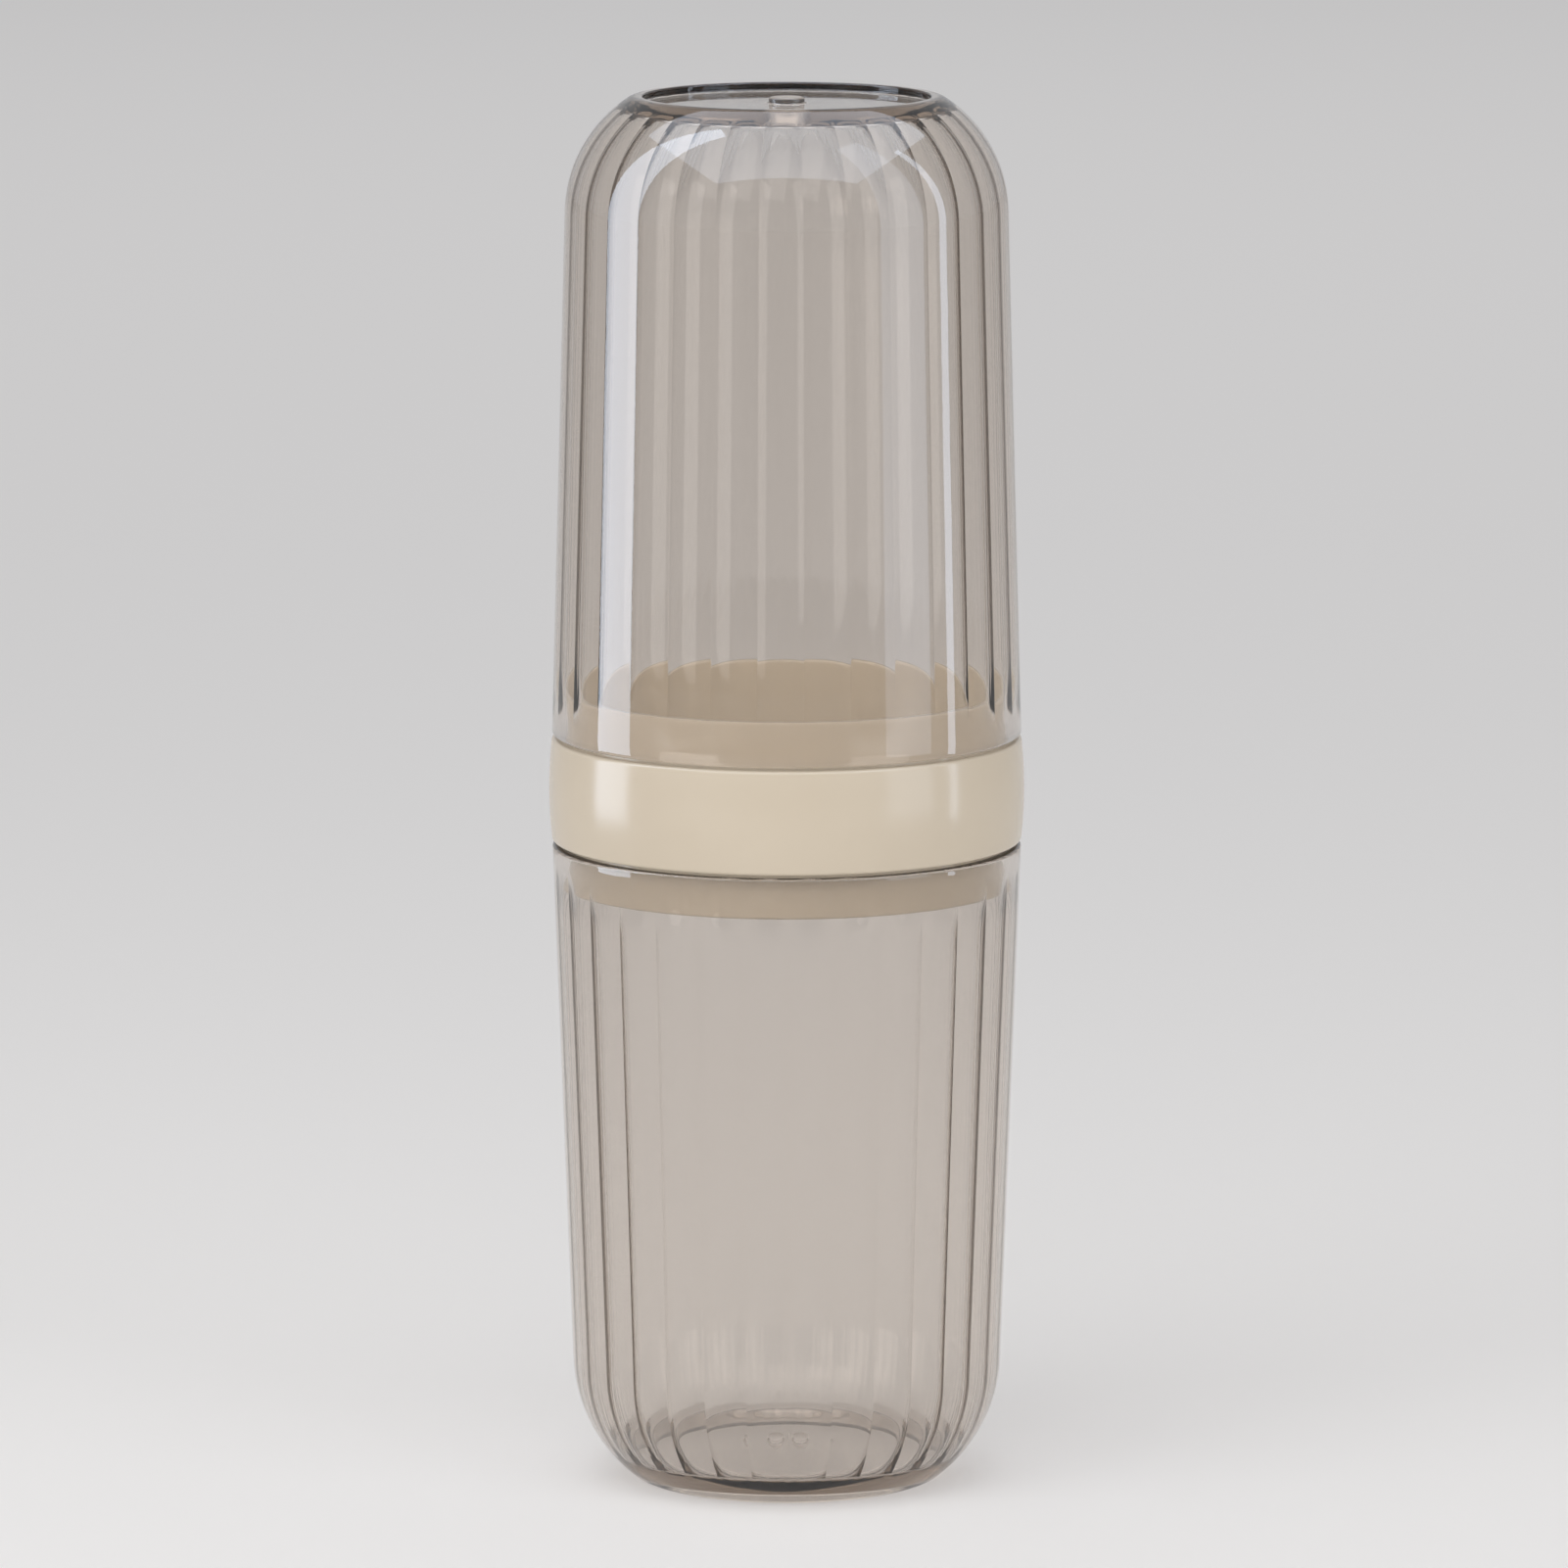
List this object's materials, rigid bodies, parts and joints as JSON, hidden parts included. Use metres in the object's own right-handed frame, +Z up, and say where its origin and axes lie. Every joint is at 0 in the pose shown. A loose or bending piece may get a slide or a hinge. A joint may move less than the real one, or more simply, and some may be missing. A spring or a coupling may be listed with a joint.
{
  "type": "toothbrush travel case",
  "caption": "Upright round toothbrush travel case: clear fluted lid and base cups plugged onto a cream coupling ring, pulled apart to reach the brushes inside.",
  "frame": {"origin": "centre of the base cup's foot rim, on the plane that the case stands on", "axes": "+Z up along the axis of the case, from the base cup to the lid; -Y is the side that the picture faces"},
  "size_m": [0.07, 0.07, 0.205],
  "materials": {
    "clear_smoke_plastic": "polished clear styrene with a faint grey-taupe tint",
    "cream_plastic": "satin moulded polypropylene, warm cream"
  },
  "bodies": {
    "base": {"base_cup": "clear_smoke_plastic"},
    "ring": {"coupling_ring": "cream_plastic"},
    "lid": {"lid_cup": "clear_smoke_plastic"}
  },
  "joints": [
    {"name": "ring_lift", "type": "slide", "parent": "base", "child": "ring", "axis": [0, 0, 1], "range_m": [0, 0.04]},
    {"name": "lid_lift", "type": "slide", "parent": "ring", "child": "lid", "axis": [0, 0, 1], "range_m": [0, 0.12]}
  ]
}
